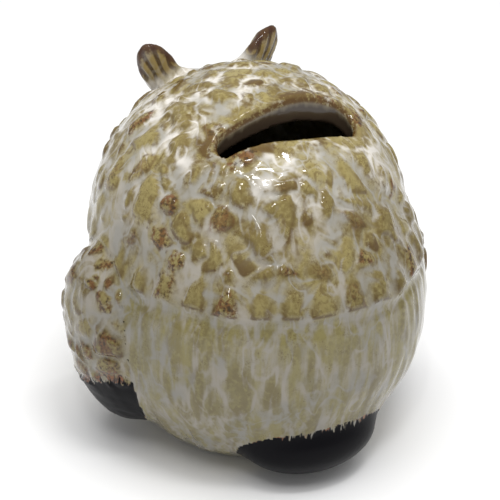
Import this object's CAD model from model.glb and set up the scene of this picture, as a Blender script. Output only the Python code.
import math

import bpy
import numpy as np
from mathutils import Matrix, Vector


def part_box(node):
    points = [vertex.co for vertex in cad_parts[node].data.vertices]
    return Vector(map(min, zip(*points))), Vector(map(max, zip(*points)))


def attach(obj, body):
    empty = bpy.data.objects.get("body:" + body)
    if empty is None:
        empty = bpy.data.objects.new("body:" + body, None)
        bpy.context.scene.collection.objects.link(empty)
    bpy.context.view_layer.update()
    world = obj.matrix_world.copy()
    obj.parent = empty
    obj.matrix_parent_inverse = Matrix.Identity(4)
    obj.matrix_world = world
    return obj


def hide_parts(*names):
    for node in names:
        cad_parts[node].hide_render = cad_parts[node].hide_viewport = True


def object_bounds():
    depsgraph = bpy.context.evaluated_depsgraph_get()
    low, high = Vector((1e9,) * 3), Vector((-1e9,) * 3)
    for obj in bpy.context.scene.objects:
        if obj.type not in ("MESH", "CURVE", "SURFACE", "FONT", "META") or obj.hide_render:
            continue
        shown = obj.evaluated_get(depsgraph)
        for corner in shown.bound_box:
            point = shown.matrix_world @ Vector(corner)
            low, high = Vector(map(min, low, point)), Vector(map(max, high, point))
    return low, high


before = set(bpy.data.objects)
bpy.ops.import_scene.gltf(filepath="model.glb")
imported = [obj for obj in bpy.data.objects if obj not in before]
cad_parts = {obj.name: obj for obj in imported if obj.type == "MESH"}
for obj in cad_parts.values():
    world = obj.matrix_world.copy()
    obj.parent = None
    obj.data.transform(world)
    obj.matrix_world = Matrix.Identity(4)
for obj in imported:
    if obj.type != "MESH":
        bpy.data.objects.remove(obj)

cad_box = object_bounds()

# The bank is skinned as one fused clay form in millimetres, then split into a piece for each clay member.
MM = 0.001
STEP = 0.82     # grid step of the skin
BANK = "bank"                          # the body that every clay piece rides on


# ---------------------------------------------------------------- sizes, in millimetres and degrees

def node_box(node):
    """Lowest and highest corner of a CAD node in millimetres."""
    low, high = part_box(node)
    return np.array(low) / MM, np.array(high) / MM


SHELL_LOW, SHELL_HIGH = node_box("body_shell")
WALL = 5.0
FLOOR_TOP = 8.2
BODY_RADIUS = SHELL_HIGH[0]
BODY_HEIGHT = 44.1
AXIS_Y = SHELL_HIGH[1] - BODY_RADIUS
HEAD_RADIUS = 47.4
HEAD_HEIGHT = SHELL_HIGH[2] - HEAD_RADIUS
HEAD_Y = SHELL_LOW[1] + HEAD_RADIUS
NECK_HEIGHT = 60.9
HOOD_PROUD = 0.9
SLOT_LENGTH = 44.0
SLOT_WIDTH = 8.2
SLOT_Y = AXIS_Y + 11.0
SLOT_NARROWING = 1.2                   # the front edge comes back by twice this at the slot's left end
SLOT_BOW = 0.9                         # the slot's middle lies this far behind its ends
LIP_ARCH_X = -5.0                      # the lips are bent most here
LIP_LIFT = 0.2                         # the clay all round the slot stands this high
FRONT_LIP_LIFT = 1.5
BACK_LIP_DROP = 2.4
LIP_REACH = 5.0                        # the bent lips fade out this far from the slot
SKIN_MARGIN = 4.0                      # the skin's grid reaches this far past the CAD box
INSIDE_MARGIN = 1.5                    # clay this near the chamber counts as its wall
BACKING_DEPTH = 1.2                    # the faces hidden behind a member lie this deep in the shell
BACKING_REACH = 60.0                   # they may be moved this far to get there, in each round
INSIDE_KEEP = 0.2                      # share of the faces that are kept on the chamber's walls

HOOD_PAD = (7.6, 7.6, 11.5)            # width, depth and length of a feather pad
WING_PAD = (7.6, 7.6, 7.2)
HEM_PAD_WIDTH = 10.2
STROKE_WIDTH = 5.6
STROKE_LENGTH = 22.0
PAD_RELIEF = 1.4
STROKE_RELIEF = 0.55
RIB_RELIEF = 0.40
NECK_GROOVE = 0.4
UNEVENNESS = 0.40

TAIL_BLACK_TOP = 22.0                  # height up to which the tail is black
WING_BLACK_TOP = 26.0                  # the same for the wings, abreast of the axis
FAR_FROM_BLACK = 9.0                   # depths in the black are told no further than this
HOLE_RADIUS = 15.0
RECESS_RADIUS = 18.5
RECESS_DEPTH = 3.4

TUFT_CENTRE = (16.7, AXIS_Y - 38.0, 103.9)
TUFT_RADII = (5.8, 2.7, 11.0)
ROOT_START = (14.0, TUFT_CENTRE[1], 102.6)
ROOT_END = (5.0, TUFT_CENTRE[1] + 1.6, 101.8)
ROOT_RADII = (2.5, 1.9)
TUFT_LEAN = 28.5
TUFT_FACE = 21.5
WING_CENTRE = (43.9, AXIS_Y - 6.2, 36.3)
WING_RADII = (15.0, 21.0, 29.5)
WING_TILT = 9.0
TAIL_CENTRE = (0.0, AXIS_Y + 34.4, 14.4)
TAIL_RADII = (21.8, 15.0, 11.9)
FOOT_CENTRE = (15.0, AXIS_Y - 33.0)
INSTEP = (1.2, 8.4)                    # height and radius
TOE_HEIGHT = 3.7
TOE_REACH = 9.6
TOE_SPREAD = 41.0
TOE_RADII = (4.5, 4.9, 4.5)
EYE_TURN = 23.0
EYE_LIFT = 6.0
EYE_RADIUS = 12.5
EYE_PROUD = 2.4
RING_RADIUS = 10.6
RING_THICKNESS = 2.4
RING_OUT = HEAD_RADIUS - 0.9
BEAK_ROOT = (0.0, SHELL_LOW[1] + 2.0, HEAD_HEIGHT - 7.0)
BEAK_RADIUS = 4.6
BEAK_TIP_RADIUS = 1.6
BEAK_LENGTH = 8.0
BEAK_HOOK = 40.0

SIDES = {"left": 1, "right": -1}

# Fillets where clay forms meet.
HEAD_FILLET = 3.0
TAIL_FILLET = 4.0
BEAK_FILLET = 1.2
TUFT_FILLET = 2.8
ROOT_FILLET = 3.0
WING_FILLET = 5.0
FOOT_FILLET = 1.5
TOE_FILLET = 0.8
RING_FILLET = 1.0
EYE_FILLET = 0.4
SLOT_FILLET = 1.2
TABLE_FILLET = 0.8
BASE_FILLET = 0.6                      # round the coin hole and its recess
CHAMBER_FILLET = 2.0


# ---------------------------------------------------------------- distance fields over arrays of points

def smooth_min(a, b, blend):
    """The lesser of two fields, with a fillet."""
    share = np.clip(0.5 + 0.5 * (b - a) / blend, 0, 1)
    return b + (a - b) * share - blend * share * (1 - share)


def smooth_max(a, b, blend):
    return -smooth_min(-a, -b, blend)


def smoothstep(low, high, x):
    t = np.clip((x - low) / (high - low), 0, 1)
    return t * t * (3 - 2 * t)


def turn_matrix(axis, degrees):
    return np.array(Matrix.Rotation(math.radians(degrees), 3, axis), np.float32)


def sphere(p, centre, radius):
    return np.sqrt(((p - np.array(centre, np.float32)) ** 2).sum(-1)) - radius


def ellipsoid(p, centre, radii, turn=None):
    q = p - np.array(centre, np.float32)
    if turn is not None:
        q = q @ turn
    radii = np.array(radii, np.float32)
    scaled = q / radii
    near = np.sqrt((scaled ** 2).sum(-1)) + 1e-6
    steep = np.sqrt(((scaled / radii) ** 2).sum(-1)) + 1e-6
    return near * (near - 1) / steep


def capsule(p, start, end, start_radius, end_radius):
    """A rounded cone between two points."""
    start, end = np.array(start, np.float32), np.array(end, np.float32)
    along = end - start
    t = np.clip((p - start) @ along / (along @ along), 0, 1)
    away = np.sqrt(((p - start - t[..., None] * along) ** 2).sum(-1))
    return away - start_radius - (end_radius - start_radius) * t


def ring(p, centre, normal, radius, thickness):
    q = p - np.array(centre, np.float32)
    height = q @ normal
    across = np.sqrt(np.maximum((q ** 2).sum(-1) - height ** 2, 0))
    return np.hypot(across - radius, height) - thickness


def sight(side):
    """The direction in which an eye looks."""
    turn, lift = math.radians(EYE_TURN), math.radians(EYE_LIFT)
    level = math.cos(lift)
    return np.array([side * math.sin(turn) * level, -math.cos(turn) * level, math.sin(lift)], np.float32)


def head_point(direction, distance):
    return np.array([0, HEAD_Y, HEAD_HEIGHT], np.float32) + direction * distance


def body_field(p, inset=0.0):
    """Body sphere and head sphere, filleted into one egg."""
    body = sphere(p, (0, AXIS_Y, BODY_HEIGHT), BODY_RADIUS - inset)
    head = sphere(p, (0, HEAD_Y, HEAD_HEIGHT), HEAD_RADIUS - inset)
    return smooth_min(body, head, HEAD_FILLET)


def tuft_turn(side):
    return turn_matrix("Y", side * TUFT_LEAN) @ turn_matrix("Z", -side * TUFT_FACE)


def mirrored(centre, side):
    return (centre[0] * side,) + tuple(centre[1:])


def tuft_field(p, side):
    """A leaf whose root runs out towards the crown."""
    leaf = ellipsoid(p, mirrored(TUFT_CENTRE, side), TUFT_RADII, tuft_turn(side))
    root = capsule(p, mirrored(ROOT_START, side), mirrored(ROOT_END, side), *ROOT_RADII)
    return smooth_min(leaf, root, ROOT_FILLET)


def wing_field(p, side):
    return ellipsoid(p, mirrored(WING_CENTRE, side), WING_RADII, turn_matrix("Y", side * WING_TILT))


def foot_field(p, side):
    """A plump instep with three round toes."""
    x, y = mirrored(FOOT_CENTRE, side)
    field = sphere(p, (x, y, INSTEP[0]), INSTEP[1])
    for spread, radius in zip((-1, 0, 1), TOE_RADII):
        turn = math.radians(spread * TOE_SPREAD)
        centre = (x + TOE_REACH * math.sin(turn), y - TOE_REACH * math.cos(turn), TOE_HEIGHT)
        field = smooth_min(field, sphere(p, centre, radius), TOE_FILLET)
    return field


def beak_field(p):
    """A short blunt beak that hooks down."""
    hook = math.radians(BEAK_HOOK)
    tip = np.array(BEAK_ROOT) + BEAK_LENGTH * np.array([0, -math.cos(hook), -math.sin(hook)])
    return capsule(p, BEAK_ROOT, tip, BEAK_RADIUS, BEAK_TIP_RADIUS)


def slot_field(p):
    """The upright coin slot, a long hole with round ends through the head, bowed and narrowed by hand."""
    narrowing = SLOT_NARROWING * smoothstep(-0.2 * SLOT_LENGTH, 0.45 * SLOT_LENGTH, p[..., 0])
    half_width = SLOT_WIDTH / 2 - narrowing
    beyond = np.maximum(np.abs(p[..., 0]) - (SLOT_LENGTH / 2 - half_width), 0)
    bow = SLOT_BOW * smoothstep(0.45 * SLOT_LENGTH, 0.0, np.abs(p[..., 0]))
    flat = np.hypot(beyond, p[..., 1] - SLOT_Y - bow - narrowing) - half_width
    return np.maximum(flat, HEAD_HEIGHT - p[..., 2])


def ring_field(p, side):
    return ring(p, head_point(sight(side), RING_OUT), sight(side), RING_RADIUS, RING_THICKNESS)


def eyeball_field(p, side):
    return sphere(p, head_point(sight(side), HEAD_RADIUS + EYE_PROUD - EYE_RADIUS), EYE_RADIUS)


def tail_field(p):
    return ellipsoid(p, TAIL_CENTRE, TAIL_RADII)


# Each clay member: its CAD node, its field and the fillet where it is luted on.
PAIRED = {"_ear_tuft": (tuft_field, TUFT_FILLET), "_wing": (wing_field, WING_FILLET),
          "_foot": (foot_field, FOOT_FILLET), "_eye_ring": (ring_field, RING_FILLET),
          "_eyeball": (eyeball_field, EYE_FILLET)}
MEMBERS = {"tail": (tail_field, TAIL_FILLET), "beak": (beak_field, BEAK_FILLET)}
for hand, side in SIDES.items():
    for ending, (paired_field, fillet) in PAIRED.items():
        MEMBERS[hand + ending] = (lambda p, f=paired_field, s=side: f(p, s), fillet)


def chamber_field(p):
    """The hollow inside, over its flat floor."""
    return smooth_max(body_field(p, WALL), FLOOR_TOP - p[..., 2], CHAMBER_FILLET)


def upright_hole(p, radius, top):
    """A round hole up from the table on the bank's axis."""
    return np.maximum(np.hypot(p[..., 0], p[..., 1] - AXIS_Y) - radius, p[..., 2] - top)


def lip_height(p):
    """How far the clay is pushed up along the coin slot's front edge and down along its back edge."""
    front = smoothstep(1.5, -3.5, p[..., 1] - SLOT_Y)
    arch = smoothstep(0.60 * SLOT_LENGTH, 0.0, np.abs(p[..., 0] - LIP_ARCH_X))
    back = smoothstep(0.5, 4.5, p[..., 1] - SLOT_Y)
    lift = LIP_LIFT + FRONT_LIP_LIFT * front * arch - BACK_LIP_DROP * back * arch
    return lift * np.exp(-(np.maximum(slot_field(p), 0) / LIP_REACH) ** 2)


def bank_field(p):
    """All the clay: negative inside the walls and members."""
    field = body_field(p)
    for member, fillet in MEMBERS.values():
        field = smooth_min(field, member(p), fillet)
    field = field - lip_height(p) * (field > -WALL * 0.6)
    field = smooth_max(field, -slot_field(p), SLOT_FILLET)
    field = smooth_max(field, -p[..., 2], TABLE_FILLET)
    field = smooth_max(field, -upright_hole(p, RECESS_RADIUS, RECESS_DEPTH), BASE_FILLET)
    field = smooth_max(field, -upright_hole(p, HOLE_RADIUS, FLOOR_TOP + 2), BASE_FILLET)
    return smooth_max(field, -chamber_field(p), BASE_FILLET)


# ---------------------------------------------------------------- skinning a field

def sample_grid(field, low, high, step):
    """The field on a regular grid, one slab at a time."""
    axes = [np.arange(a, b + step, step, dtype=np.float32) for a, b in zip(low, high)]
    slabs = []
    for x in axes[0]:
        y, z = np.meshgrid(axes[1], axes[2], indexing="ij")
        slabs.append(field(np.stack([np.full_like(y, x), y, z], -1)))
    return np.stack(slabs)


def surface_net(values, low, step):
    """Outward quads over the surface where the values change sign, with one vertex in each crossed cell."""
    cells = np.array(values.shape) - 1
    total = np.zeros((*cells, 3), np.float32)
    count = np.zeros(cells, np.float32)
    crossings = []
    for axis in range(3):
        u, v = (axis + 1) % 3, (axis + 2) % 3
        start = np.moveaxis(values, (axis, u, v), (0, 1, 2))
        a, b = start[:-1], start[1:]
        crossed = (a < 0) != (b < 0)
        along = np.where(crossed, a / np.where(crossed, a - b, 1), 0)
        seen = np.moveaxis(total, (axis, u, v), (0, 1, 2))
        hits = np.moveaxis(count, (axis, u, v), (0, 1, 2))
        for du in (0, 1):
            for dv in (0, 1):
                here = crossed[:, du:du + cells[u], dv:dv + cells[v]]
                hits += here
                seen[..., axis] += along[:, du:du + cells[u], dv:dv + cells[v]]
                seen[..., u] += du * here
                seen[..., v] += dv * here
        crossings.append((axis, u, v, np.argwhere(crossed), a[crossed] < 0))
    active = count > 0
    index = np.full(cells, -1)
    index[active] = np.arange(active.sum())
    points = np.array(low) + (np.argwhere(active) + total[active] / count[active][:, None]) * step
    quads = []
    for axis, u, v, found, outward in crossings:
        cell = np.empty_like(found)
        cell[:, axis], cell[:, u], cell[:, v] = found.T
        corners = []
        for du, dv in ((0, 0), (1, 0), (1, 1), (0, 1)):
            shift = np.zeros(3, int)
            shift[u], shift[v] = du, dv
            corners.append(index[tuple((cell - shift).T)])
        quad = np.stack(corners, -1)
        quads.append(np.where(outward[:, None], quad, quad[:, ::-1]))
    return points, np.concatenate(quads)


def gradient(field, points, reach=0.05):
    """The field's unit gradient at each point."""
    slope = [field(points + reach * unit) - field(points - reach * unit) for unit in np.eye(3)]
    slope = np.stack(slope, -1)
    return slope / (np.linalg.norm(slope, axis=-1, keepdims=True) + 1e-9)


def settle(field, points, rounds, limit):
    """Moves points onto the field's zero surface."""
    for _ in range(rounds):
        points = points - np.clip(field(points), -limit, limit)[:, None] * gradient(field, points)
    return points


def mesh_from(name, points, faces):
    """A Blender mesh in metres from points in millimetres."""
    mesh = bpy.data.meshes.new(name)
    mesh.from_pydata((np.asarray(points) * MM).tolist(), [], [list(face) for face in faces])
    mesh.update()
    return mesh


def mesh_arrays(mesh):
    """Points in millimetres, and faces as lists of indices."""
    points = np.empty(len(mesh.vertices) * 3, np.float32)
    mesh.vertices.foreach_get("co", points)
    return points.reshape(-1, 3) / MM, [tuple(face.vertices) for face in mesh.polygons]


def thin_inside(points, quads, keep):
    """The same skin with fewer faces on the chamber's walls, which show only through the slot."""
    mesh = mesh_from("skin", points, quads)
    skin = bpy.data.objects.new("skin", mesh)
    bpy.context.collection.objects.link(skin)
    near = np.where((chamber_field(points.astype(np.float32)) < 1.0) & (slot_field(points) > 3.0))[0]
    group = skin.vertex_groups.new(name="inside")
    group.add(near.tolist(), 1.0, "REPLACE")
    thin = skin.modifiers.new("thin", "DECIMATE")
    thin.ratio = 1 - (1 - keep) * len(near) / len(points)
    thin.vertex_group = "inside"
    evaluated = skin.evaluated_get(bpy.context.evaluated_depsgraph_get())
    result = mesh_arrays(evaluated.to_mesh())
    evaluated.to_mesh_clear()
    bpy.data.objects.remove(skin)
    bpy.data.meshes.remove(mesh)
    return result


# ---------------------------------------------------------------- noise over arrays of points

def lattice(cells, seed):
    """A fixed random number from 0 to 1 for each integer cell."""
    mixed = (cells[..., 0] * 73856093) ^ (cells[..., 1] * 19349663) ^ (cells[..., 2] * 83492791)
    mixed = mixed ^ (seed * 2654435)
    mixed = ((mixed ^ (mixed >> 13)) * 1274126177) & 0xFFFFFFFF
    mixed = ((mixed ^ (mixed >> 15)) * 2246822519) & 0xFFFFFFFF
    return ((mixed ^ (mixed >> 16)) & 0xFFFFFF) / 0xFFFFFF


def noise(p, size, seed):
    """Smooth noise from -1 to 1 with features of a size."""
    q = p / size
    base = np.floor(q).astype(np.int64)
    f = q - base
    f = f * f * (3 - 2 * f)
    total = 0
    for corner in np.ndindex(2, 2, 2):
        weight = np.prod(np.where(corner, f, 1 - f), -1)
        total = total + weight * lattice(base + np.array(corner), seed)
    return total * 2 - 1


def warped(p, amount, size, seed):
    """Points pushed about by smooth noise."""
    return p + amount * np.stack([noise(p, size, seed + k) for k in range(3)], -1)


def pads(p, seed, spread=0.0):
    """Cellular noise in unit cells, each cell wide below and narrow above, with a spread of sizes.

    Returns how deep inside its cell each point lies, how far below the cell's middle, and two numbers
    for the cell."""
    base = np.floor(p).astype(np.int64)
    first = np.full(len(p), 9.0)
    second = np.full(len(p), 9.0)
    low = np.zeros(len(p))
    owner = np.zeros_like(base)
    for shift in np.ndindex(3, 3, 3):
        cell = base + np.array(shift) - 1
        spot = cell + 0.5 + 0.9 * (np.stack([lattice(cell, seed + k) for k in range(3)], -1) - 0.5)
        size = 1 + spread * (2 * lattice(cell, seed + 7) - 1)
        away = (p - spot) / size[:, None]
        narrow = 1 + 0.5 * np.clip(away[:, 2], -0.7, 0.7)
        distance = np.sqrt((away[:, 0] * narrow) ** 2 + (away[:, 1] * narrow) ** 2 + away[:, 2] ** 2)
        nearer = distance < first
        second = np.where(nearer, first, np.minimum(second, distance))
        owner = np.where(nearer[:, None], cell, owner)
        low = np.where(nearer, -away[:, 2], low)
        first = np.where(nearer, distance, first)
    inside = np.minimum((second - first) * 1.6, (0.82 - first) * 1.7)
    return inside, low, lattice(owner, seed + 11), lattice(owner, seed + 23)


# ---------------------------------------------------------------- relief and paint on the skin

def nearest_member(points):
    """For each point, 0 for the shell or the number of its member, and all the distances."""
    fields = np.stack([body_field(points)] + [member(points) for member, _ in MEMBERS.values()])
    return fields.argmin(0), fields


def hem_pads(turn, above, seed):
    """The lowest row of feather pads, flat below and round above, in millimetres above the neck line.

    Returns how deep inside its pad each point lies, how far below the pad's middle, and two numbers
    for the pad."""
    across = turn * BODY_RADIUS / HEM_PAD_WIDTH
    column = np.floor(across).astype(np.int64)
    cell = np.stack([column, column * 0, column * 0], -1)
    width = 0.40 + 0.12 * lattice(cell, seed)
    height = 8.0 + 6.0 * lattice(cell, seed + 1)
    aside = np.abs(across - column - 0.5 - 0.10 * (lattice(cell, seed + 2) - 0.5)) / width
    up = np.clip(above / height, 0, 2)
    inside = np.minimum(1 - np.hypot(aside, np.maximum(up - 0.35, 0) / 0.65), above / 2.5)
    return inside * 0.9, 0.5 - up, lattice(cell, seed + 3), lattice(cell, seed + 4)


def feather_pads(points, turn, above, wing):
    """The pads of the hood, of its hem and of the wings, as pads() returns them."""
    loose = warped(warped(points, 2.4, 9.0, 5), 0.8, 2.8, 13)
    hood = pads(loose / HOOD_PAD, 3, 0.42)
    wings = pads(warped(loose, 1.0, 7.0, 9) / WING_PAD, 41, 0.25)
    hem = hem_pads(turn + 0.02 * noise(points, 3.0, 19), above, 53)
    hem_share = smoothstep(12.0, 8.0, above)
    hood = [a + (b - a) * hem_share for a, b in zip(hood, hem)]
    return [np.where(wing > 0.5, b, a) for a, b in zip(hood, wings)]


def body_strokes(points, turn):
    """Long shallow strokes on the body below the neck, as pads() returns them."""
    z = points[:, 2]
    flutes = np.stack([turn * BODY_RADIUS / STROKE_WIDTH, np.zeros_like(z), z / STROKE_LENGTH], -1)
    return pads(warped(flutes, 0.25, 1.3, 17), 29, 0.35)


def ribbed_tufts(points, share):
    """The ribs' relief on both ear tufts, and their paint: the ribs' phase, the rim and the whole leaf."""
    relief, fan, edge, leaf = np.zeros((4, len(points)))
    for hand, side in SIDES.items():
        own_fan, own_edge, along = tuft_ribs(points, side)
        own = share[hand + "_ear_tuft"] * smoothstep(-0.45, 0.25, along)
        relief += RIB_RELIEF * np.cos(own_fan) * smoothstep(1.05, 0.8, own_edge) * own
        fan, edge, leaf = fan + own_fan * own, edge + own_edge * own, leaf + own
    return relief, {"tuft": leaf, "fan": fan, "edge": edge}


def slot_paint(points, slot, body_distance):
    """The rust line on the coin slot's rim, and how far down its walls the glaze has thinned out."""
    depth = lip_height(points) - body_distance
    line = np.exp(-((slot - 0.2) / 0.6) ** 2) * np.exp(-((depth - 0.6) / 0.7) ** 2)
    return {"lip": line * (points[:, 2] > HEAD_HEIGHT), "inner": smoothstep(0.2, 4.5, depth) * (slot < 1.0)}


def sculpt(points):
    """Relief in millimetres along the normal, and the paint attributes, at each outer point."""
    x, y, z = points.T
    _, fields = nearest_member(points)
    distance = dict(zip(["body_shell", *MEMBERS], fields))
    share = {name: smoothstep(1.5, -1.5, distance[name] - distance["body_shell"]) for name in MEMBERS}
    wing = np.maximum(share["left_wing"], share["right_wing"])
    tuft = np.maximum(share["left_ear_tuft"], share["right_ear_tuft"])
    trim = np.maximum.reduce([share[name] for name in MEMBERS if "wing" not in name and "tuft" not in name])
    slot = slot_field(points)
    dark = dark_depth(points, share)
    turn = np.arctan2(x, y - AXIS_Y)
    above = z - (NECK_HEIGHT + 0.8 * noise(points, 10.0, 31))

    hood = smoothstep(-1.5, 0.9, above) * (1 - wing) * (1 - tuft)
    below = (1 - hood) * (1 - wing) * (1 - tuft) * (1 - trim)
    calm = smoothstep(0.5, 6.0, slot)
    inside, low, tone, kind = feather_pads(points, turn, above, wing)
    pad = smoothstep(-0.05, 0.80, inside) * np.maximum(hood * calm, wing)
    strokes = body_strokes(points, turn)
    stroke = 0.75 * smoothstep(-0.1, 1.1, strokes[0]) * below * smoothstep(-0.5, -4.0, above)

    relief = HOOD_PROUD * hood * (1 - trim)
    relief -= NECK_GROOVE * below * np.exp(-((above + 2.6) / 1.5) ** 2)
    relief += PAD_RELIEF * pad * (0.45 + 0.55 * tone) * (1 - trim)
    relief += STROKE_RELIEF * stroke
    relief += UNEVENNESS * noise(points, 9.0, 61) * (1 - trim)
    relief *= 1 - 0.85 * smoothstep(-1.0, 3.0, dark)
    ribs, tuft_paint = ribbed_tufts(points, share)
    relief += ribs

    paint = {
        "pad": np.clip(pad + stroke + 0.6 * hood * (1 - calm), 0, 1),
        "under": np.clip(low * 2.2, 0, 1) * (1 - below),
        "tone": np.where(below > 0.5, strokes[2], tone),
        "kind": np.where(below > 0.5, 0.0, kind),
        "wing": wing,
        "below": below,
        "low": smoothstep(105.0, 45.0, z),
        "eye": np.maximum(share["left_eyeball"], share["right_eyeball"]),
        "dark": dark,
        **tuft_paint,
        **slot_paint(points, slot, distance["body_shell"]),
    }
    outer = smoothstep(0.6, 1.6, z) * smoothstep(0.2, 1.2, slot)
    return relief * outer, paint


def tuft_ribs(points, side):
    """The phase of the ribs that fan out from a tuft's root, the nearness to its rim and the place
    along it."""
    local = (points - np.array(mirrored(TUFT_CENTRE, side))) @ tuft_turn(side)
    fan = np.arctan2(local[:, 0], local[:, 2] + 1.3 * TUFT_RADII[2])
    along = local[:, 2] / TUFT_RADII[2]
    return fan * 40.0, np.hypot(local[:, 0] / TUFT_RADII[0], along), along


def dark_depth(points, share):
    """How far inside a black glazed patch a point lies, in millimetres; negative outside."""
    x, y, z = points.T
    tail = np.where(share["tail"] > 0.02, TAIL_BLACK_TOP - z, -FAR_FROM_BLACK)
    wing = WING_BLACK_TOP - z + 0.40 * (y - AXIS_Y)
    wing = np.where(np.maximum(share["left_wing"], share["right_wing"]) > 0.3, wing, -FAR_FROM_BLACK)
    whole = 45 * (np.maximum.reduce([share["left_foot"], share["right_foot"], share["beak"]]) - 0.62)
    return np.clip(np.maximum.reduce([tail, wing, whole]), -FAR_FROM_BLACK, FAR_FROM_BLACK)


# ---------------------------------------------------------------- materials

class Graph:
    """Builds a material's nodes in few words."""

    def __init__(self, name):
        self.material = bpy.data.materials.new(name)
        self.material.use_nodes = True
        self.tree = self.material.node_tree
        self.tree.nodes.clear()

    def add(self, kind, settings=None, **inputs):
        """A node with its settings, and its inputs as values or as the sockets that feed them."""
        node = self.tree.nodes.new("ShaderNode" + kind)
        for name, value in (settings or {}).items():
            setattr(node, name, value)
        for name, value in inputs.items():
            key = int(name[1:]) if name[0] == "i" and name[1:].isdigit() else name.replace("_", " ")
            socket = node.inputs[key]
            if isinstance(value, bpy.types.NodeSocket):
                self.tree.links.new(value, socket)
            else:
                socket.default_value = value
        return node

    def attribute(self, name):
        return self.add("Attribute", {"attribute_name": name}).outputs["Fac"]

    def maths(self, operation, a, b=0.0, c=0.0):
        return self.add("Math", {"operation": operation}, i0=a, i1=b, i2=c).outputs[0]

    def between(self, value, low, high):
        """0 below low and 1 above high, with a smooth rise."""
        return self.add("MapRange", {"interpolation_type": "SMOOTHSTEP"}, Value=value, From_Min=low,
                        From_Max=high).outputs[0]

    def mix(self, share, a, b):
        node = self.add("Mix", {"data_type": "RGBA"}, i0=share)
        for key, value in ((6, a), (7, b)):
            if isinstance(value, bpy.types.NodeSocket):
                self.tree.links.new(value, node.inputs[key])
            else:
                node.inputs[key].default_value = (*value, 1)
        return node.outputs[2]

    def noise(self, place, size, detail=3.0, roughness=0.6, distortion=0.0):
        return self.add("TexNoise", Vector=place, Scale=1 / (size * MM), Detail=detail, Roughness=roughness,
                        Distortion=distortion).outputs["Fac"]

    def finish(self, **inputs):
        shader = self.add("BsdfPrincipled", **inputs)
        self.add("OutputMaterial", Surface=shader.outputs[0])
        return self.material


CREAM = (0.74, 0.705, 0.650)
WHITE = (0.425, 0.388, 0.323)
CLOUD = (0.345, 0.328, 0.285)
TAN = (0.320, 0.262, 0.096)
LOW_TAN = (0.310, 0.262, 0.066)
OLIVE = (0.195, 0.146, 0.043)
LOW_OLIVE = (0.230, 0.188, 0.046)
BROWN = (0.095, 0.049, 0.013)
RUST = (0.17, 0.062, 0.018)
UMBER = (0.030, 0.015, 0.009)
BLACK = (0.0032, 0.0030, 0.0042)
CLAY = (0.055, 0.038, 0.025)
EYE = (0.014, 0.008, 0.005)
SLOT_WALL = (0.170, 0.140, 0.092)
TUFT_TAN = (0.27, 0.197, 0.071)
TUFT_BROWN = (0.045, 0.021, 0.009)
TUFT_RIM = (0.055, 0.021, 0.010)


class GlazeTextures:
    """The textures and painted attributes that the glaze's layers share."""

    def __init__(self, g):
        self.place = g.add("TexCoord").outputs["Object"]
        self.drawn_out = g.add("Mapping", Vector=self.place, Scale=(1, 1, 0.16)).outputs[0]
        self.run_down = g.add("Mapping", Vector=self.place, Scale=(1, 1, 0.55)).outputs[0]
        self.cloud = g.noise(self.run_down, 5.5, 2.0, 0.40, 1.0)
        self.fine = g.noise(self.place, 1.2, 3.0)
        self.streaks = g.noise(self.drawn_out, 2.4, 3.0, 0.5)
        self.pad, self.below, self.low = (g.attribute(name) for name in ("pad", "below", "low"))


def thin_glaze(g, t):
    """Where the glaze is thin and shows tan: over the pads and in streaks below the neck."""
    thin = g.maths("MULTIPLY_ADD", g.maths("SUBTRACT", t.fine, 0.5), 0.30, g.maths("MULTIPLY", t.pad, 1.15))
    calm = g.maths("MULTIPLY_ADD", g.attribute("wing"), -0.9, 2.3)
    calm = g.maths("MULTIPLY_ADD", t.below, -1.3, calm)
    thin = g.maths("ADD", thin, g.maths("MULTIPLY", g.maths("SUBTRACT", t.cloud, 0.50), calm))
    vein = g.maths("ABSOLUTE", g.maths("SUBTRACT", g.noise(t.run_down, 7.5, 1.5, 0.4, 1.2), 0.5))
    thin = g.maths("ADD", thin, g.maths("MULTIPLY_ADD", g.between(vein, 0.0, 0.08), 0.50, -0.36))
    streaked = g.maths("MULTIPLY", g.maths("SUBTRACT", t.streaks, 0.47), g.maths("MULTIPLY", t.below, 3.0))
    share = g.between(g.maths("ADD", thin, streaked), -0.45, 0.82)
    return g.maths("MULTIPLY", share, g.maths("MULTIPLY_ADD", t.below, -0.15, 0.97))


def pooled_glaze(g, t, tan_share):
    """White where the glaze pools, tan to olive where it is thin."""
    white = g.mix(g.between(t.low, 0.0, 0.36), CREAM, WHITE)
    white = g.mix(g.between(g.noise(t.place, 14.0, 2.0), 0.38, 0.62), white, CLOUD)
    mottle = g.maths("MULTIPLY_ADD", g.attribute("tone"), 0.40, t.fine)
    tan, olive = g.mix(t.below, TAN, LOW_TAN), g.mix(t.below, OLIVE, LOW_OLIVE)
    return g.mix(tan_share, white, g.mix(g.between(mottle, 0.50, 0.95), tan, olive))


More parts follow.
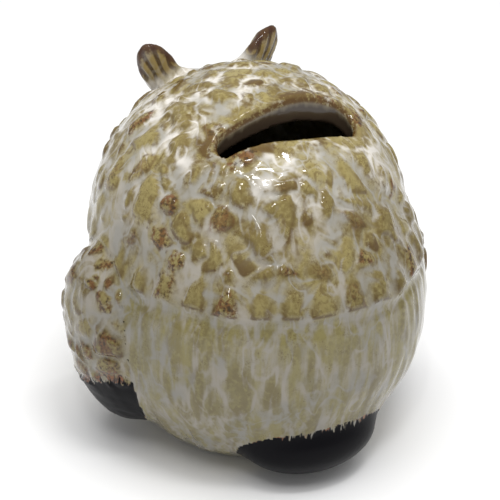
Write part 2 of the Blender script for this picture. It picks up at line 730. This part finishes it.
def browned(g, t, colour, tan_share):
    """Brown round the pads' lower rims, in grains over some pads and in soft burnt patches."""
    rim = g.maths("MULTIPLY", g.between(t.pad, 0.10, 0.40), g.between(t.pad, 0.95, 0.50))
    rim = g.maths("MULTIPLY", rim, g.maths("MULTIPLY_ADD", g.attribute("under"), 0.7, 0.3))
    broken = g.maths("ADD", t.cloud, g.maths("MULTIPLY", t.fine, 0.6))
    rim = g.maths("MULTIPLY", rim, g.between(broken, 0.68, 0.84))
    grained = g.between(g.noise(t.place, 4.0, 2.0), 0.50, 0.64)
    grains = g.maths("MULTIPLY", g.between(g.noise(t.place, 0.42, 2.0), 0.50, 0.66), grained)
    grains = g.maths("MULTIPLY", grains, tan_share)
    brown = g.maths("MAXIMUM", g.maths("MULTIPLY", rim, 0.85), g.maths("MULTIPLY", grains, 0.70))
    burnt = g.between(g.noise(t.run_down, 3.4, 3.0, 0.55, 1.2), 0.54, 0.68)
    burnt = g.maths("MULTIPLY", burnt, tan_share)
    burnt = g.maths("MULTIPLY", burnt, g.maths("MULTIPLY_ADD", t.below, -0.50, 0.55))
    return g.mix(g.maths("MAXIMUM", brown, burnt), colour, BROWN)


def rusted(g, t, colour):
    """A few pads, more of them on the wings, that break to rust and umber."""
    kind = g.maths("MULTIPLY_ADD", g.attribute("wing"), 0.44, g.attribute("kind"))
    rusty = g.maths("MULTIPLY", g.between(kind, 0.76, 0.92), g.between(t.pad, 0.15, 0.60))
    rusty = g.maths("MULTIPLY", rusty, g.between(g.maths("ADD", t.fine, t.streaks), 0.88, 1.12))
    rust = g.mix(g.between(t.fine, 0.48, 0.66), RUST, UMBER)
    return g.mix(g.maths("MULTIPLY", rusty, 0.80), colour, rust)


def with_tufts(g, t, colour):
    """Ear tufts are dark between their ribs and round their rims."""
    ribs = g.between(g.maths("COSINE", g.attribute("fan")), 0.1, -0.7)
    rim = g.between(g.maths("MULTIPLY_ADD", t.fine, 0.4, g.attribute("edge")), 0.92, 1.12)
    tuft = g.mix(g.maths("MULTIPLY", ribs, 0.85), TUFT_TAN, TUFT_BROWN)
    tuft = g.mix(g.maths("MULTIPLY", g.between(t.cloud, 0.54, 0.66), 0.25), tuft, CLOUD)
    tuft = g.mix(g.maths("MULTIPLY", rim, 0.9), tuft, TUFT_RIM)
    return g.mix(g.between(g.attribute("tuft"), 0.45, 1.0), colour, tuft)


def with_slot(g, t, colour):
    """The slot's rim has a thin brown line, its walls a thin glaze, and the hollow inside is bare clay."""
    lip = g.maths("MULTIPLY", g.between(g.attribute("lip"), 0.10, 0.60), g.between(t.fine, 0.25, 0.55))
    colour = g.mix(lip, colour, BROWN)
    inner = g.attribute("inner")
    wall = g.mix(g.between(g.maths("ADD", t.streaks, inner), 0.45, 1.1), SLOT_WALL, CLAY)
    return g.mix(g.between(inner, 0.02, 0.25), colour, wall)


def with_black_tips(g, t, colour):
    """Black tips end in a ragged brushed edge with rust beside it. Returns the colour, and where it
    is black."""
    brush = g.maths("MULTIPLY_ADD", g.noise(t.drawn_out, 1.0, 2.0), 9.0, g.attribute("dark"))
    dark = g.between(brush, 4.0, 4.8)
    fringe = g.maths("MULTIPLY", g.between(brush, -0.6, 2.8), g.between(t.cloud, 0.46, 0.54))
    colour = g.mix(fringe, colour, g.mix(g.between(t.fine, 0.4, 0.6), UMBER, RUST))
    return g.mix(dark, colour, BLACK), dark


def glaze_material():
    """White reactive glaze that pools between tan pads, breaks to brown and rust and meets black tips."""
    g = Graph("reactive_glaze")
    t = GlazeTextures(g)
    tan_share = thin_glaze(g, t)
    colour = pooled_glaze(g, t, tan_share)
    colour = rusted(g, t, browned(g, t, colour, tan_share))
    colour = g.mix(g.maths("MULTIPLY_ADD", t.low, -0.38, 1.0), (0, 0, 0), colour)
    colour = with_slot(g, t, with_tufts(g, t, colour))
    colour, dark = with_black_tips(g, t, colour)
    colour = g.mix(g.attribute("eye"), colour, EYE)

    rough = g.maths("MULTIPLY_ADD", dark, 0.30, 0.07)
    sheen = g.maths("MULTIPLY_ADD", dark, -0.42, 0.5)
    height = g.maths("MULTIPLY_ADD", t.fine, 0.45, g.noise(t.place, 3.2, 2.0))
    bump = g.add("Bump", Strength=0.30, Distance=0.12 * MM, Height=height).outputs[0]
    return g.finish(Base_Color=colour, Roughness=rough, Specular_IOR_Level=sheen, Normal=bump)


def rubber_material():
    g = Graph("stopper_rubber")
    place = g.add("TexCoord").outputs["Object"]
    dusty = g.noise(place, 3.0, 5.0)
    colour = g.mix(g.between(dusty, 0.4, 0.8), (0.018, 0.018, 0.019), (0.05, 0.048, 0.045))
    bump = g.add("Bump", Strength=0.2, Distance=0.1 * MM, Height=g.noise(place, 0.4, 2.0)).outputs[0]
    return g.finish(Base_Color=colour, Roughness=0.62, Normal=bump)


# ---------------------------------------------------------------- pieces

def vertex_normals(points, faces):
    """Area-weighted normals of the whole skin, so that members meet with no shading seam."""
    normals = np.zeros_like(points)
    for corners in (3, 4):
        rows = np.array([face for face in faces if len(face) == corners])
        if len(rows):
            across = points[rows[:, 2]] - points[rows[:, 0]]
            other = points[rows[:, -1]] - points[rows[:, 1 if corners == 4 else 0]]
            normal = np.cross(across, other)
            for column in rows.T:
                np.add.at(normals, column, normal)
    return normals / (np.linalg.norm(normals, axis=1, keepdims=True) + 1e-12)


def make_piece(name, points, faces, hidden, normals, paint, material, node):
    """A piece from some of the skin's faces and the hidden faces that close it behind a member."""
    every = list(faces) + list(hidden)
    used = np.unique(np.concatenate([np.array(face) for face in every]))
    number = np.full(len(points), -1)
    number[used] = np.arange(len(used))
    mesh = mesh_from(name, points[used], [tuple(number[list(face)]) for face in every])
    mesh.polygons.foreach_set("use_smooth", [True] * len(every))
    for key, values in paint.items():
        mesh.attributes.new(key, "FLOAT", "POINT").data.foreach_set("value", values[used].astype(np.float32))
    loops = [normals[corner] for face in faces for corner in face]
    loops += [(0, 0, 0)] * sum(len(face) for face in hidden)
    mesh.normals_split_custom_set(loops)
    piece = bpy.data.objects.new(name, mesh)
    bpy.context.collection.objects.link(piece)
    mesh.materials.append(material)
    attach(piece, BANK)
    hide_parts(node)


def bank_skin():
    """The sculpted skin of all the clay: its points, faces and normals, and its paint by attribute."""
    low = np.array(cad_box[0]) / MM - SKIN_MARGIN
    high = np.array(cad_box[1]) / MM + SKIN_MARGIN
    grid = sample_grid(bank_field, low, high, STEP)
    points, quads = surface_net(grid, low, STEP)
    points, faces = thin_inside(points, quads, INSIDE_KEEP)
    points = settle(bank_field, points.astype(np.float64), 3, STEP)
    normals = gradient(bank_field, points)
    relief, paint = sculpt(points)
    outer = chamber_field(points) > INSIDE_MARGIN
    points = points + normals * (relief * outer)[:, None]
    points[:, 2] = np.maximum(points[:, 2], 0)
    return points, faces, vertex_normals(points, faces), paint


def build_bank():
    """Splits the skin into a piece for each CAD node, closed behind the members by sunken copies of
    their faces."""
    points, faces, normals, paint = bank_skin()
    centres = np.array([points[list(face)].mean(0) for face in faces])
    owner, _ = nearest_member(centres)
    owner[chamber_field(centres) < INSIDE_MARGIN] = 0
    names = ["body_shell"] + list(MEMBERS)
    material = glaze_material()
    backing_paint = {key: np.concatenate([values, values]) for key, values in paint.items()}
    behind = settle(lambda p: body_field(p) + BACKING_DEPTH, points, 3, BACKING_REACH)
    both = np.concatenate([points, behind])
    both_normals = np.concatenate([normals, normals])
    count = len(points)
    touching = {number: set() for number in range(len(names))}
    for face, number in zip(faces, owner):
        touching[number].update(face)
    shell_backing = []
    for number, name in enumerate(names[1:], start=1):
        own = [face for face, belongs in zip(faces, owner) if belongs == number]
        others = set().union(*(touching[other] for other in touching if other != number))
        rim = others & touching[number]
        back = [tuple(corner if corner in rim else corner + count for corner in face) for face in own]
        shell_backing += back
        make_piece(name + "_clay", both, own, [face[::-1] for face in back], both_normals, backing_paint,
                   material, name)
    own = [face for face, belongs in zip(faces, owner) if belongs == 0]
    make_piece("body_shell_clay", both, own, shell_backing, both_normals, backing_paint, material,
               "body_shell")


def dress_stopper():
    """The CAD stopper keeps its shape and gets its rubber."""
    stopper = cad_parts["stopper"]
    rubber = rubber_material()
    for slot in stopper.material_slots:
        slot.material = rubber


# ---------------------------------------------------------------- studio

VIEW_TURN = 28.75          # degrees from straight behind towards the owl's left
VIEW_RISE = 28.22
VIEW_ROLL = 2.69
VIEW_DISTANCE = 542.4
VIEW_ACROSS = -0.80        # how far the aim lies to the right of the owl's axis
VIEW_HEIGHT = 51.06
LENS = 122.4


def make_camera():
    turn, rise, roll = (math.radians(a) for a in (VIEW_TURN, VIEW_RISE, VIEW_ROLL))
    back = Vector((math.sin(turn) * math.cos(rise), math.cos(turn) * math.cos(rise), math.sin(rise)))
    right = (-back).cross(Vector((0, 0, 1))).normalized()
    up = right.cross(-back)
    right, up = right * math.cos(roll) + up * math.sin(roll), up * math.cos(roll) - right * math.sin(roll)
    aim = right * VIEW_ACROSS + up * VIEW_HEIGHT + Vector((0, AXIS_Y, 0))
    data = bpy.data.cameras.new("camera")
    data.lens = LENS
    data.clip_start = 0.01
    camera = bpy.data.objects.new("camera", data)
    bpy.context.collection.objects.link(camera)
    camera.matrix_world = Matrix.Translation((aim + back * VIEW_DISTANCE) * MM) @ Matrix(
        (right, up, back)).transposed().to_4x4()
    bpy.context.scene.camera = camera


def make_light(name, place, size, power, aim=(0, 0, 0.05)):
    data = bpy.data.lights.new(name, "AREA")
    data.shape = "RECTANGLE"
    data.size, data.size_y = size
    data.energy = power
    light = bpy.data.objects.new(name, data)
    bpy.context.collection.objects.link(light)
    light.location = place
    light.rotation_euler = (Vector(aim) - Vector(place)).to_track_quat("-Z", "Y").to_euler()
    return light


def make_studio():
    mesh = bpy.data.meshes.new("floor")
    half = 3.0
    corners = [(-half, -half, 0), (half, -half, 0), (half, half, 0), (-half, half, 0)]
    mesh.from_pydata(corners, [], [(0, 1, 2, 3)])
    floor = bpy.data.objects.new("floor", mesh)
    bpy.context.collection.objects.link(floor)
    g = Graph("floor_paint")
    mesh.materials.append(g.finish(Base_Color=(0.90, 0.90, 0.90, 1), Roughness=0.9))
    overhead = make_light("overhead_light", (0.05, 0.10, 1.2), (1.3, 1.3), 15.0)
    overhead.visible_glossy = False
    make_light("window_light", (0.02, 0.28, 0.86), (0.24, 0.03), 1.4)
    make_light("side_window_light", (0.30, 0.42, 0.75), (0.02, 0.16), 0.5)
    world = bpy.data.worlds.new("studio")
    world.use_nodes = True
    world.node_tree.nodes["Background"].inputs["Color"].default_value = (1, 1, 1, 1)
    world.node_tree.nodes["Background"].inputs["Strength"].default_value = 0.42
    bpy.context.scene.world = world
    bpy.context.scene.view_settings.view_transform = "Standard"


build_bank()
dress_stopper()
make_studio()
make_camera()
